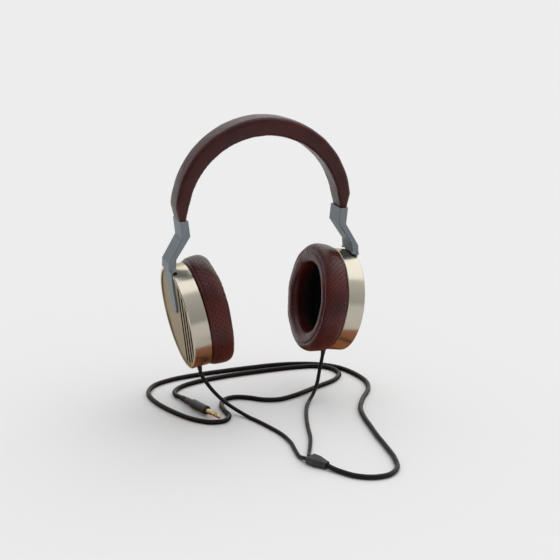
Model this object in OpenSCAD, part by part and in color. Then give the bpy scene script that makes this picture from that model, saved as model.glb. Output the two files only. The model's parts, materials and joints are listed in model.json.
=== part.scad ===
// Over ear headphones with an open slotted cup, S-bent yokes and a Y lead.
// Frame: origin under the crown of the headband, +X to the right cup,
// +Y towards the back, +Z up. The cord lies on a level surface rest_drop below.

/* [Headband] */
// Radius of the outer leather surface
band_outer_r = 76; // [60:0.5:95]
// Radius of the inner leather surface
band_inner_r = 66; // [50:0.5:85]
// Thickness of the padded band at the crown
crown_t = 15; // [8:0.5:25]
// Width of the band from front to back
band_w = 22; // [14:0.5:40]
// Rounding of the leather edges
band_edge_r = 3; // [1:0.25:5]
// Depth of the band ends below the crown
band_drop = 65; // [50:0.5:85]
// Thickness of the leather
leather_t = 1.5; // [0.8:0.1:3]
// Thickness of the steel spring band
spring_t = 1.2; // [0.6:0.1:2]

/* [Slider and yoke] */
// Width of the slider strip
slider_w = 14; // [8:0.5:20]
// Thickness of the slider strip
slider_t = 1.6; // [1:0.1:3]
// Length of the strip above the yoke
slider_up = 32; // [20:1:45]
// Depth of the strip inside the yoke collar
slider_in = 8; // [5:0.5:12]
// Outward lean of the sliding direction
slide_lean = 4; // [0:0.5:10]
// Width of the yoke from front to back
yoke_w = 22; // [12:0.5:30]
// Half width of the saddle above the cup
saddle_half = 13.5; // [10:0.5:20]
// Thickness of the blade over the cup face
blade_t = 1.6; // [1:0.1:4]
// Bevel along the edges of the yoke
yoke_bevel = 0.8; // [0.3:0.1:2]

/* [Cup] */
// Radius of the metal cup band
cup_r = 44; // [35:0.5:55]
// Depth of the metal cup band
cup_depth = 15.6; // [10:0.2:30]
// Wall of the metal cup band
cup_wall = 2.4; // [1.5:0.1:4]
// Inward lean of the bottom of each cup
cup_tilt = 9.6; // [0:0.2:20]
// Distance of the cup rim centre from the middle plane
cup_x = 74.8; // [60:0.2:95]
// Drop of the cup rim centre below the crown
cup_drop = 149.6; // [120:0.2:180]
// Depth of the slotted plate below the rim
plate_sink = 1; // [0:0.1:3]
// Thickness of the slotted plate
plate_t = 1.2; // [0.8:0.1:3]
// Width of each slot
slot_w = 4.2; // [1.5:0.1:5]
// Spacing of the slots
slot_pitch = 7.7; // [5:0.1:12]
// Slant of the slots
slot_slant = 13.4; // [0:0.1:45]

/* [Pivot] */
// Height of the pivot above the cup centre
pivot_up = 14; // [0:0.5:20]
// Depth of the upright swivel pin below the rim
swivel_depth = 3.4; // [2:0.1:6]
// Depth of the level tilt pin below the rim
tilt_depth = 6.7; // [4:0.1:9]
// Radius of the pivot pins
pin_r = 0.8; // [0.5:0.1:1.5]
// Half width of the pivot block
block_half = 3.9; // [3:0.1:6]

/* [Driver and pad] */
// Radius of the driver basket
driver_r = 19.8; // [15:0.1:25]
// Radius of the magnet
magnet_r = 8.5; // [5:0.1:12]
// Radius of the ear pad opening
pad_hole_r = 29.5; // [24:0.5:35]
// Outer radius of the ear pad
pad_r = 46.9; // [40:0.1:55]
// Thickness of the ear pad
pad_t = 19.6; // [12:0.1:30]
// Rounding of the ear pad section
pad_round = 5.5; // [3:0.5:8]

/* [Cord] */
// Diameter of the two leads
lead_d = 3.2; // [2:0.1:4]
// Diameter of the main cable
cable_d = 4; // [2.5:0.1:5]
// Radius of the plug shaft
jack_r = 1.75; // [1.25:0.05:3.2]
// Height of the crown above the surface the cord lies on
rest_drop = 233; // [200:1:300]

/* [Hidden] */
$fn = 96;
sides = 8;
gap = 0.1;
big = 200;

champagne = [0.80, 0.75, 0.64];
steel_blue = [0.44, 0.50, 0.54];
steel = [0.70, 0.71, 0.72];
leather = [0.25, 0.13, 0.12];
pad_brown = [0.33, 0.16, 0.14];
black = [0.07, 0.07, 0.08];
gold = [0.83, 0.66, 0.33];
copper = [0.72, 0.42, 0.25];
foam_grey = [0.45, 0.44, 0.42];

outer_c = crown_t - band_outer_r;
inner_c = -band_inner_r;
// Straight tapering ends of the band: where they start and the x of their faces
taper_top = -54;
outer_top_x = 75.65;
outer_end_x = 72.8;
inner_top_x = 64.4;
inner_end_x = 68.1;
side_taper = 5;
side_taper_top = -50;
side_wall = 2.5;
cover_gap = 0.3;
yoke_top = -band_drop - cover_gap;
slider_x = 70.2;
cavity_w = band_w - 2 * side_wall;
spring_w = cavity_w - 1;
spring_out_r = band_outer_r - leather_t - gap;
spring_end = 27;
guide_top = -22;
guide_bottom = -62.5;
guide_slot = slider_t + 0.5;
strip_clear = 0.2;
notch_pitch = 3;
notch_count = 9;
notch_from_end = 5;
notch_w = 5;
notch_deep = 0.3;
notch_long = 1.4;
// Leaf of the detent: thickness, width, length and distance to the strip
leaf_t = 0.6;
leaf_w = 6;
leaf_long = 18;
leaf_from = 6;
leaf_gap = 0.5;
bump_at = 14;
bump_w = 4;
bump_long = 1.2;

// Set screws in the back of the collar, and their depths below its top
screw_depths = [2.4, 5.8];
screw_r = 1;
screw_sunk = 0.4;
hex_r = 0.55;
hex_deep = 1.2;
screw_fit = 0.05;

rim_inner_r = cup_r - cup_wall;
plate_r = rim_inner_r - gap;
plate_top = -plate_sink;
plate_under = plate_top - plate_t;
ledge_w = 2;
trough_floor = -4.3;
trough_t = 1.2;
blade_under = -1.2;
saddle_r = cup_r + 1.15;
foot_half = saddle_half + 1;
blade_clear = 1.1;
trough_wall = 1.1;
front_slot = 9.4;
slot_count = 4;
notch_half = saddle_half + 1;
notch_from = 37;
well_floor = -9.2;
floor_t = 0.8;
well_half = 6.5;
well_long = 8.6;
lug_from = 5.5;
lug_to = 7.5;
lug_half = 2.6;
lug_end = -4.8;
block_long = 5.2;
block_top = -1.8;
block_bottom = -8.1;
ear_from = 4.2;
ear_to = 6.2;
ear_long = 3.2;
ear_top = -5.1;
running = 0.05;

baffle_t = 2;
baffle_face = 0.2 - cup_depth;
baffle_back = baffle_face + baffle_t;
baffle_ledge = 5;
ledge_back = -11;
screw_ring_r = 38.8;
baffle_screw_r = 0.95;
baffle_screw_long = 4.2;
baffle_head_r = 1.8;
screw_seat = 1.1;
port_r = 2.4;
port_ring_r = 29;
basket_back = -10.4;
basket_wall = 1.2;
back_plate_t = 0.8;
vent_r = 2.5;
pole_t = 0.6;
coil_r = magnet_r + 0.5;
coil_t = 0.6;
cone_r = driver_r - basket_wall - 0.2;
basket_lip = 1.8;
basket_port_r = 2;
basket_port_ring = 14;
cover_r = 30.8;
cover_hole_r = 1.4;
cover_pitch = 4.4;
cover_field_r = 19;
pad_ring_t = 1;
pad_base = -cup_depth - pad_ring_t;
exit_off = -10.5;
exit_hole_r = 2.6;
boot_tip = 51;
boot_taper = 6.6;
boot_r = 2.4;

plug_tail = [-66.8, 20, 3 - rest_drop];
plug_turn = 14.5;
plug_lift = 3.6;
boot_len = 8;
neck_end = 18.4;
barrel_end = 41.3;
flange_end = 48.5;
sleeve_end = 56;
band_ins = 0.6;
ring_len = 2.2;
tip_len = 3.6;
ring_from = sleeve_end + band_ins;
tip_from = ring_from + ring_len + band_ins;
tail_r = 2.3;
neck_r = 2.7;
barrel_r = 3.9;
flange_r = 2.15;

// Height of a cord centre line lying flat on the surface
lead_z = lead_d / 2 - rest_drop;
cable_z = cable_d / 2 - rest_drop;

// Position of a point given along the cup face, above it and front to back
function cup_point(up, out) = [cup_x + out * cos(cup_tilt) + up * sin(cup_tilt), 0,
                               up * cos(cup_tilt) - out * sin(cup_tilt) - cup_drop];

boot_end = cup_point(-boot_tip, exit_off);
boot_dir = [-sin(cup_tilt), 0, -cos(cup_tilt)];
splitter_tail = [-7.8, -133.5, 3.2 - rest_drop];
splitter_turn = -64;
splitter_len = 18;
splitter_out = splitter_tail + splitter_len * [cos(splitter_turn), sin(splitter_turn), 0];
lead_spread = 2.6;
lead_in = [-sin(splitter_turn), cos(splitter_turn), 0];
splitter_dir = [cos(splitter_turn), sin(splitter_turn), 0];

right_route = concat(
    [boot_end, boot_end + 4 * boot_dir],
    [for (p = [[52, -3, 22], [48, -8, 13], [42, -14, 5.5], [34, -23, 1.8]])
        [p[0], p[1], p[2] - rest_drop]],
    [for (p = [[27, -36], [20, -54], [14, -73], [8, -94], [1, -111], [-4, -122]])
        [p[0], p[1], lead_z]],
    [splitter_tail + lead_spread * lead_in - 3 * splitter_dir,
     splitter_tail + lead_spread * lead_in]);

left_route = concat(
    [for (p = [boot_end, boot_end + 4 * boot_dir]) [-p[0], p[1], p[2]]],
    [for (p = [[-51, -4, 23], [-46, -9, 16], [-39, -16, 9], [-31, -26, 4]])
        [p[0], p[1], p[2] - rest_drop]],
    [for (p = [[-24, -39], [-16, -61], [-11, -80], [-10, -97], [-12, -113], [-13, -124]])
        [p[0], p[1], lead_z]],
    [splitter_tail - lead_spread * lead_in - 3 * splitter_dir,
     splitter_tail - lead_spread * lead_in]);

flat_run = [[6, -160], [14, -171], [26, -178], [39, -178], [49, -170], [55, -153], [58, -130],
            [60, -109], [63, -88], [66, -68], [71, -50], [81, -32], [94, -14], [100, 4],
            [98, 26], [90, 46], [75, 60], [56, 68], [36, 72], [14, 73], [-12, 73], [-38, 72],
            [-64, 68], [-82, 59], [-91, 43], [-90, 21], [-81, -6], [-70, -26], [-58, -37],
            [-47, -38], [-40, -30], [-40, -17], [-39, -5], [-33, 6], [-23, 9], [-12, 4],
            [-1, -5], [12, -9], [28, -5], [53, 7], [75, 18], [85, 31], [83, 46], [72, 56],
            [53, 60], [32, 61], [10, 61], [-13, 60], [-36, 57], [-53, 52], [-64, 45], [-69, 37]];
plug_back = [-cos(plug_lift) * sin(plug_turn), cos(plug_lift) * cos(plug_turn), -sin(plug_lift)];
cable_route = concat(
    [splitter_out, splitter_out + [2, -4, -0.6]],
    [for (p = flat_run) [p[0], p[1], cable_z]],
    [[-69.5, 28.5, 2.4 - rest_drop], plug_tail + 3 * plug_back, plug_tail]);

// ---- placing ----

// Cup frame: X up along the face, Z outwards along the cup axis
module at_cup() {
    translate([cup_x, 0, -cup_drop])
        rotate([0, 90 + cup_tilt, 0])
            rotate([0, 0, 180])
                children();
}

// Plug frame: Z from the cable end to the tip
module at_plug() {
    translate(plug_tail)
        rotate([0, 0, plug_turn])
            rotate([90 - plug_lift, 0, 0])
                children();
}

// Flat outline in the X-Z plane given a width from front to back
module side_plate(width) {
    rotate([90, 0, 0])
        linear_extrude(height = width, center = true)
            children();
}

// Slab along the sliding direction, Z measured up from the top of the yoke
module at_slider() {
    translate([slider_x, 0, yoke_top])
        rotate([0, -slide_lean, 0])
            children();
}

module ring(outer, inner, from, to) {
    translate([0, 0, from])
        difference() {
            cylinder(r = outer, h = to - from);
            translate([0, 0, -1])
                cylinder(r = inner, h = to - from + 2);
        }
}

module rounded_section(width, height, r) {
    translate([0, r])
        square([width, height - 2 * r]);
    translate([r, 0])
        square([width - 2 * r, height]);
    for (x = [r, width - r], y = [r, height - r])
        translate([x, y])
            circle(r = r);
}

// ---- headband ----

// What is cut away beside the tapered ends, drawn inset by a wall
module end_wedges(inset) {
    low = -band_drop - 2;
    for (m = [0, 1])
        mirror([m, 0]) {
            polygon([[outer_top_x - inset, taper_top], [big, taper_top], [big, low],
                     [outer_end_x - inset, low]]);
            polygon([[inner_top_x + inset, taper_top + 1.5], [inner_end_x + inset, low],
                     [band_inner_r - 16, low], [band_inner_r - 16, taper_top + 1.5]]);
        }
}

// Arch outline with its tapered ends, drawn inset by a wall
module arch_outline(inset) {
    difference() {
        translate([0, outer_c])
            circle(r = band_outer_r - inset);
        translate([0, inner_c])
            circle(r = band_inner_r + inset);
        translate([-big / 2, -band_drop - big])
            square([big, big]);
        translate([-band_inner_r + 2, -big])
            square([2 * band_inner_r - 4, big + inner_c]);
        end_wedges(inset);
    }
}

module rounded_drum() {
    translate([0, 0, outer_c])
        rotate([90, 0, 0])
            rotate_extrude() {
                translate([0, -band_w / 2 + band_edge_r])
                    square([band_outer_r, band_w - 2 * band_edge_r]);
                translate([0, -band_w / 2])
                    square([band_outer_r - band_edge_r, band_w]);
                for (y = [-1, 1])
                    translate([band_outer_r - band_edge_r, y * (band_w / 2 - band_edge_r)])
                        circle(r = band_edge_r);
            }
}

module inner_edge_cut() {
    translate([0, 0, inner_c])
        rotate([90, 0, 0])
            rotate_extrude()
                for (m = [0, 1])
                    mirror([0, m])
                        difference() {
                            translate([band_inner_r - 1, band_w / 2 - band_edge_r])
                                square([band_edge_r + 1, band_edge_r + 1]);
                            translate([band_inner_r + band_edge_r,
                                       band_w / 2 - band_edge_r])
                                circle(r = band_edge_r);
                        }
}

// Narrowing of the band towards its ends, seen from the side
module end_taper() {
    depth = 10;
    long = band_drop + side_taper_top + 10;
    for (y = [-1, 1])
        translate([0, y * band_w / 2, side_taper_top])
            rotate([-y * side_taper, 0, 0])
                translate([-big / 2, (y - 1) * depth / 2, -long])
                    cube([big, depth, long]);
}

module slider_mouth() {
    mouth_w = slider_w + 0.6;
    at_slider()
        translate([-guide_slot / 2, -mouth_w / 2, -1])
            cube([guide_slot, mouth_w, 8]);
}

module headband_cover() {
    color(leather)
        difference() {
            intersection() {
                rounded_drum();
                side_plate(band_w + 2)
                    arch_outline(0);
            }
            inner_edge_cut();
            end_taper();
            side_plate(cavity_w)
                intersection() {
                    arch_outline(leather_t);
                    translate([-big / 2, -band_drop + leather_t])
                        square([big, big]);
                }
            slider_mouth();
            mirror([1, 0, 0])
                slider_mouth();
        }
}

module sector(from, to) {
    polygon([[0, 0], for (a = [from, (from + to) / 2, to]) big * [cos(a), sin(a)]]);
}

module spring_arc(grow, from) {
    translate([0, outer_c])
        intersection() {
            difference() {
                circle(r = spring_out_r + grow);
                circle(r = spring_out_r - spring_t - grow);
            }
            sector(from, 180 - from);
        }
}

module headband_spring() {
    color(steel)
        side_plate(spring_w)
            spring_arc(0, spring_end);
}

module headband_foam() {
    color(foam_grey)
        side_plate(cavity_w - 2 * gap)
            intersection() {
                difference() {
                    translate([0, outer_c])
                        circle(r = spring_out_r - spring_t - gap);
                    translate([0, inner_c])
                        circle(r = band_inner_r + leather_t + gap);
                }
                translate([-big / 2, guide_top + gap])
                    square([big, big]);
            }
}

module strip_space(grow, extra) {
    at_slider()
        translate([-slider_t / 2 - grow, -slider_w / 2 - grow, -10])
            cube([slider_t + 2 * grow, slider_w + 2 * grow, slider_up + 10 + extra]);
}

module detent_shape(grow) {
    at_slider()
        translate([-slider_t / 2 - leaf_gap - leaf_t - grow, -leaf_w / 2 - grow, leaf_from - grow])
            cube([leaf_t + 2 * grow, leaf_w + 2 * grow, leaf_long + 2 * grow]);
}

module slider_guide() {
    color(black)
        difference() {
            side_plate(cavity_w - 2 * gap)
                difference() {
                    intersection() {
                        arch_outline(leather_t + gap);
                        translate([50, guide_bottom])
                            square([50, guide_top - guide_bottom]);
                    }
                    spring_arc(gap, spring_end - 1);
                }
            strip_space(strip_clear, 0.6);
            detent_shape(gap);
            at_slider()
                translate([-slider_t / 2 - 2, -leaf_w / 2 - 2 * gap, bump_at - 4])
                    cube([2, leaf_w + 4 * gap, 8]);
        }
}

// Leaf with a bump that clicks into the notches of the strip
module detent_spring() {
    color(steel) {
        detent_shape(0);
        at_slider()
            translate([-slider_t / 2 - leaf_gap - leaf_t / 2, -bump_w / 2, bump_at])
                cube([leaf_t, bump_w, bump_long]);
    }
}

module slider() {
    color(steel)
        difference() {
            at_slider()
                translate([-slider_t / 2, -slider_w / 2, -slider_in])
                    cube([slider_t, slider_w, slider_up + slider_in]);
            at_slider()
                for (i = [0:notch_count - 1])
                    translate([-slider_t / 2 - 1, -notch_w / 2, notch_from_end + i * notch_pitch])
                        cube([1 + notch_deep, notch_w, notch_long]);
        }
}

// ---- yoke ----

// Round spaces in line with the set screws, from one distance behind the middle to another
module screw_space(r, from, to, facets = 32) {
    at_slider()
        for (depth = screw_depths)
            translate([0, from, -depth])
                rotate([-90, 0, 0])
                    cylinder(r = r, h = to - from, $fn = facets);
}

// Thin bevelled slice of the yoke between an inner and an outer corner
module slice(inner, outer, half) {
    run = outer - inner;
    long = norm(run);
    translate([inner[0], 0, inner[1]])
        rotate([0, -atan2(run[1], run[0]), 0])
            linear_extrude(height = 0.02)
                polygon([[yoke_bevel, -half], [long - yoke_bevel, -half],
                         [long, yoke_bevel - half], [long, half - yoke_bevel],
                         [long - yoke_bevel, half], [yoke_bevel, half],
                         [0, half - yoke_bevel], [0, yoke_bevel - half]]);
}

module yoke_bar() {
    half = yoke_w / 2;
    top = [[66.3, yoke_top], [73.6, yoke_top]];
    bend = [[64.9, -78.3], [72.1, -79.5]];
    knee = [[77, -96.6], [83.7, -99.2]];
    neck = [[77.5, -103.4], [83.8, -103.6]];
    foot = [[76.8, -108.5], [83.3, -108.5]];
    hull() {
        slice(top[0], top[1], half);
        slice(bend[0], bend[1], half);
    }
    hull() {
        slice(bend[0], bend[1], half);
        slice(knee[0], knee[1], half);
    }
    hull() {
        slice(knee[0], knee[1], half);
        slice(neck[0], neck[1], half);
    }
    hull() {
        slice(neck[0], neck[1], half);
        slice(foot[0], foot[1], foot_half);
    }
}

// Half outline of the tapering blade, up along the face and out to the side
function blade_side(grow) = [[46, saddle_half - 0.5 + grow], [40, saddle_half - 1.7 + grow],
                             [34, 9.4 + grow], [27, 7.2 + grow], [13, 5.3 + grow],
                             [8.6, 4.1 + grow], [6.4 - grow / 2, 2.9 + grow],
                             [5.2 - grow, 1.4 + grow]];

module blade_outline(grow) {
    half = blade_side(grow);
    last = len(half) - 1;
    polygon(concat(half, [for (i = [last:-1:0]) [half[i][0], -half[i][1]]]));
}

module yoke() {
    color(steel_blue)
        difference() {
            union() {
                difference() {
                    yoke_bar();
                    at_cup() {
                        translate([0, 0, -30])
                            cylinder(r = saddle_r, h = 30 + blade_under);
                        translate([0, -30, -40])
                            cube([saddle_r - 1.5, 60, 50]);
                    }
                }
                at_cup() {
                    translate([0, 0, blade_under])
                        linear_extrude(height = blade_t)
                            blade_outline(0);
                    for (s = [-1, 1])
                        translate([pivot_up + s * (lug_from + lug_to) / 2, 0,
                                   (lug_end + blade_under) / 2 + 0.1])
                            cube([lug_to - lug_from, 2 * lug_half,
                                  blade_under - lug_end + 0.2], center = true);
                }
            }
            at_slider()
                translate([-slider_t / 2 - screw_fit, -slider_w / 2 - screw_fit,
                           -slider_in - screw_fit])
                    cube([slider_t + 2 * screw_fit, slider_w + 2 * screw_fit, slider_in + 1]);
            screw_space(screw_r + screw_fit, slider_w / 2, yoke_w);
            swivel_hole(pin_r + 0.01);
        }
}

module yoke_screws() {
    outer_end = yoke_w / 2 - screw_sunk;
    color(steel)
        difference() {
            screw_space(screw_r, slider_w / 2 + 2 * screw_fit, outer_end);
            screw_space(hex_r, outer_end - hex_deep, outer_end + 1, 6);
        }
}

// ---- pivot ----

module swivel_hole(r) {
    at_cup()
        translate([pivot_up - lug_to - 1, 0, -swivel_depth])
            rotate([0, 90, 0])
                cylinder(r = r, h = 2 * lug_to + 2);
}

module swivel_pin() {
    color(steel)
        at_cup()
            translate([pivot_up - lug_to, 0, -swivel_depth])
                rotate([0, 90, 0])
                    cylinder(r = pin_r, h = 2 * lug_to);
}

module tilt_pin() {
    color(steel)
        at_cup()
            translate([pivot_up, ear_to, -tilt_depth])
                rotate([90, 0, 0])
                    cylinder(r = pin_r, h = 2 * ear_to);
}

module pivot_block() {
    color(black)
        difference() {
            at_cup()
                translate([pivot_up - block_long, -block_half, block_bottom])
                    cube([2 * block_long, 2 * block_half, block_top - block_bottom]);
            swivel_hole(pin_r + running);
            at_cup()
                translate([pivot_up, block_half + 1, -tilt_depth])
                    rotate([90, 0, 0])
                        cylinder(r = pin_r + running, h = 2 * block_half + 2);
        }
}

module well_outline(grow) {
    square([2 * (ear_long + 0.5 + grow), 2 * (well_half + grow)], center = true);
    square([2 * (well_long + grow), 2 * (block_half + 0.4 + grow)], center = true);
}

module pivot_cradle() {
    color(black)
        at_cup()
            difference() {
                union() {
                    intersection() {
                        translate([0, 0, trough_floor - trough_t])
                            linear_extrude(height = plate_under - trough_floor + trough_t)
                                blade_outline(blade_clear + trough_wall);
                        cylinder(r = rim_inner_r - ledge_w - gap, h = 20, center = true);
                    }
                    translate([pivot_up, 0, well_floor - floor_t])
                        linear_extrude(height = trough_floor - well_floor + floor_t)
                            well_outline(1);
                }
                translate([0, 0, trough_floor])
                    linear_extrude(height = 10)
                        blade_outline(blade_clear);
                difference() {
                    translate([pivot_up, 0, well_floor])
                        linear_extrude(height = trough_floor - well_floor + 0.1)
                            well_outline(0);
                    for (s = [-1, 1])
                        translate([pivot_up - ear_long, s * (ear_from + ear_to) / 2
                                   - (ear_to - ear_from) / 2, well_floor - 1])
                            cube([2 * ear_long, ear_to - ear_from, ear_top - well_floor + 1]);
                }
                translate([pivot_up, ear_to + 1, -tilt_depth])
                    rotate([90, 0, 0])
                        cylinder(r = pin_r + 0.01, h = 2 * ear_to + 2);
            }
}

// ---- cup ----

module cup_band() {
    edge = 0.7;
    color(champagne)
        difference() {
            at_cup()
                rotate_extrude()
                    polygon([[cup_r, edge - cup_depth], [cup_r, -edge], [cup_r - edge, 0],
                             [rim_inner_r, 0], [rim_inner_r, plate_under],
                             [rim_inner_r - ledge_w, plate_under],
                             [rim_inner_r - ledge_w, plate_under - 1.6],
                             [rim_inner_r, plate_under - 3.2],
                             [rim_inner_r, ledge_back + 1.5],
                             [rim_inner_r - baffle_ledge, ledge_back],
                             [rim_inner_r - baffle_ledge, baffle_back],
                             [rim_inner_r, baffle_back], [rim_inner_r, -cup_depth],
                             [cup_r - edge, -cup_depth]]);
            at_cup()
                translate([notch_from, -notch_half, trough_floor])
                    cube([20, 2 * notch_half, 10]);
            at_cup()
                baffle_holes(baffle_screw_r + screw_fit, -20);
            at_cup()
                translate([-cup_r - 5, 0, exit_off])
                    rotate([0, 90, 0])
                        cylinder(r = exit_hole_r, h = 12);
        }
}

module baffle_holes(r, from) {
    for (a = [45:90:315])
        rotate([0, 0, a])
            translate([screw_ring_r, 0, from])
                cylinder(r = r, h = 15);
}

module slots() {
    reach = plate_r - 2.2;
    intersection() {
        circle(r = reach);
        rotate([0, 0, slot_slant])
            for (i = [0:slot_count - 1])
                translate([-cup_r, front_slot + i * slot_pitch])
                    square([2 * cup_r, slot_w]);
    }
}

module slotted_plate() {
    color(champagne)
        at_cup()
            translate([0, 0, plate_under])
                linear_extrude(height = plate_t)
                    difference() {
                        circle(r = plate_r);
                        difference() {
                            slots();
                            blade_outline(blade_clear + 2);
                        }
                        intersection() {
                            blade_outline(blade_clear);
                            circle(r = plate_r + 1);
                        }
                        translate([notch_from, -notch_half])
                            square([20, 2 * notch_half]);
                    }
}

module dust_mesh() {
    color(black)
        at_cup()
            translate([0, 0, plate_under - 0.4])
                linear_extrude(height = 0.4)
                    difference() {
                        circle(r = rim_inner_r - ledge_w - gap);
                        blade_outline(blade_clear + 1.2);
                    }
}

module baffle() {
    color(black)
        at_cup()
            difference() {
                ring(plate_r, driver_r + 0.2, baffle_face, baffle_back);
                baffle_holes(baffle_screw_r + 0.15, -20);
                for (a = [45:90:315])
                    rotate([0, 0, a])
                        translate([screw_ring_r, 0, baffle_face - 1])
                            cylinder(r = baffle_head_r + 0.15, h = 1 + screw_seat);
                for (a = [0:30:330])
                    rotate([0, 0, a])
                        translate([port_ring_r, 0, baffle_face - 1])
                            cylinder(r = port_r, h = baffle_t + 2);
            }
}

module baffle_screws() {
    color(steel)
        at_cup()
            for (a = [45:90:315])
                rotate([0, 0, a])
                    translate([screw_ring_r, 0, baffle_face + gap])
                        difference() {
                            union() {
                                cylinder(r = baffle_head_r, h = screw_seat - gap);
                                cylinder(r = baffle_screw_r, h = baffle_screw_long);
                            }
                            translate([0, 0, -1])
                                cylinder(r = hex_r, h = 1 + hex_deep, $fn = 6);
                        }
}

// ---- driver ----

module driver_basket() {
    lip = driver_r + basket_lip;
    color(black)
        at_cup()
            difference() {
                rotate_extrude()
                    polygon([[driver_r, baffle_face + 0.2], [driver_r, baffle_back],
                             [lip, baffle_back], [lip, baffle_back + 1],
                             [driver_r, baffle_back + 1], [driver_r, basket_back],
                             [vent_r, basket_back], [vent_r, basket_back - back_plate_t],
                             [driver_r - basket_wall, basket_back - back_plate_t],
                             [driver_r - basket_wall, baffle_face + 0.2]]);
                for (a = [22.5:45:337.5])
                    rotate([0, 0, a])
                        translate([basket_port_ring, 0, basket_back - 2])
                            cylinder(r = basket_port_r, h = 4);
            }
}

module magnet() {
    color(steel)
        at_cup()
            ring(magnet_r, vent_r, baffle_back, basket_back - back_plate_t);
}

module pole_plate() {
    color(foam_grey)
        at_cup()
            ring(magnet_r, vent_r, baffle_back - pole_t, baffle_back);
}

module voice_coil() {
    color(copper)
        at_cup()
            ring(coil_r + coil_t, coil_r, baffle_face + 0.9, baffle_back + 0.6);
}

// Half section of the dome and its rolled surround at a radius
function cone_height(r) = r < coil_r ? 0.73 * cos(90 * r / coil_r)
                                     : 0.47 * sin(180 * (r - coil_r) / (cone_r - coil_r));

module diaphragm() {
    skin = 0.25;
    steps = 16;
    radii = [for (i = [0:steps]) cone_r * i / steps];
    color(copper)
        at_cup()
            translate([0, 0, baffle_face + 0.6])
                rotate_extrude()
                    polygon(concat([for (r = radii) [r, skin - cone_height(r)]],
                                   [for (i = [steps:-1:0]) [radii[i], -cone_height(radii[i])]]));
}

module driver_cover() {
    color(black)
        at_cup()
            difference() {
                translate([0, 0, pad_base])
                    cylinder(r = cover_r, h = pad_ring_t);
                for (i = [-5:5], j = [-5:5]) {
                    x = cover_pitch * (i + j / 2);
                    y = cover_pitch * j * sin(60);
                    if (norm([x, y]) < cover_field_r)
                        translate([x, y, pad_base - 1])
                            cylinder(r = cover_hole_r, h = pad_ring_t + 2, $fn = 24);
                }
            }
}

module pad_ring() {
    color(black)
        at_cup()
            ring(pad_r - pad_round - 0.4, cover_r + 0.2, pad_base, -cup_depth);
}

module ear_pad() {
    color(pad_brown)
        at_cup()
            translate([0, 0, pad_base - pad_t])
                rotate_extrude()
                    translate([pad_hole_r, 0])
                        rounded_section(pad_r - pad_hole_r, pad_t, pad_round);
}

// ---- cord ----

module strain_relief() {
    color(black)
        at_cup()
            translate([-boot_tip, 0, exit_off])
                rotate([0, 90, 0]) {
                    cylinder(r1 = lead_d / 2 + 0.25, r2 = boot_r, h = boot_taper);
                    translate([0, 0, boot_taper - 0.01])
                        cylinder(r = exit_hole_r - 0.05, h = boot_tip - rim_inner_r - boot_taper);
                }
}

function ends_ahead(route, i) =
    route[min(i + 1, len(route) - 1)] - route[max(i - 1, 0)];
function unit(v) = v / norm(v);
function level_side(t) = unit(cross(t, abs(t[2]) < 0.9 * norm(t) ? [0, 0, 1] : [0, 1, 0]));

// Points around one ring of a tube
function tube_ring(centre, t, r) =
    let (a = level_side(t), b = unit(cross(a, t)))
    [for (k = [0:sides - 1]) centre + r * (cos(360 * (k + 0.5) / sides) * a
                                          + sin(360 * (k + 0.5) / sides) * b)];

module tube(route, r) {
    last = len(route) - 1;
    points = [for (i = [0:last]) each tube_ring(route[i], ends_ahead(route, i), r)];
    walls = [for (i = [0:last - 1], k = [0:sides - 1])
        let (a = i * sides + k, b = i * sides + (k + 1) % sides)
        [a, b, b + sides, a + sides]];
    polyhedron(points, concat([[for (k = [sides - 1:-1:0]) k]], walls,
                              [[for (k = [0:sides - 1]) last * sides + k]]), convexity = 10);
}

module y_splitter() {
    color(black)
        translate(splitter_tail)
            rotate([0, 0, splitter_turn])
                rotate([0, 90, 0])
                    hull() {
                        for (x = [-1.2, 1.2], y = [-3.8, 3.8])
                            translate([x, y, 0])
                                cylinder(r = 1.9, h = 8, $fn = 32);
                        cylinder(r = 2.9, h = splitter_len, $fn = 32);
                    }
}

module plug_boot() {
    color(black)
        at_plug()
            cylinder(r1 = tail_r, r2 = neck_r, h = boot_len);
}

module plug_barrel() {
    color(black)
        at_plug()
            rotate_extrude()
                polygon([[0, boot_len], [neck_r + 0.2, boot_len], [neck_r + 0.2, neck_end - 0.8],
                         [neck_r + 0.6, neck_end], [barrel_r - 0.4, neck_end],
                         [barrel_r, neck_end + 0.4], [barrel_r, barrel_end - 0.4],
                         [barrel_r - 0.4, barrel_end], [0, barrel_end]]);
}

module plug_sleeve() {
    color(gold)
        at_plug()
            rotate_extrude()
                polygon([[0, barrel_end], [flange_r, barrel_end], [flange_r, flange_end - 0.3],
                         [flange_r - 0.3, flange_end], [jack_r, flange_end],
                         [jack_r, sleeve_end], [0, sleeve_end]]);
}

module plug_insulators() {
    color(black)
        at_plug()
            for (z = [sleeve_end, ring_from + ring_len])
                translate([0, 0, z])
                    cylinder(r = jack_r, h = band_ins);
}

module plug_ring() {
    color(gold)
        at_plug()
            translate([0, 0, ring_from])
                cylinder(r = jack_r, h = ring_len);
}

module plug_tip() {
    waist = 1.15;
    color(gold)
        at_plug()
            rotate_extrude()
                polygon([[0, tip_from], [jack_r, tip_from], [waist, tip_from + 0.7],
                         [waist, tip_from + 1.1], [jack_r, tip_from + 1.9],
                         [0.5, tip_from + tip_len], [0, tip_from + tip_len]]);
}

module left() {
    mirror([1, 0, 0])
        children();
}

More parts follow.
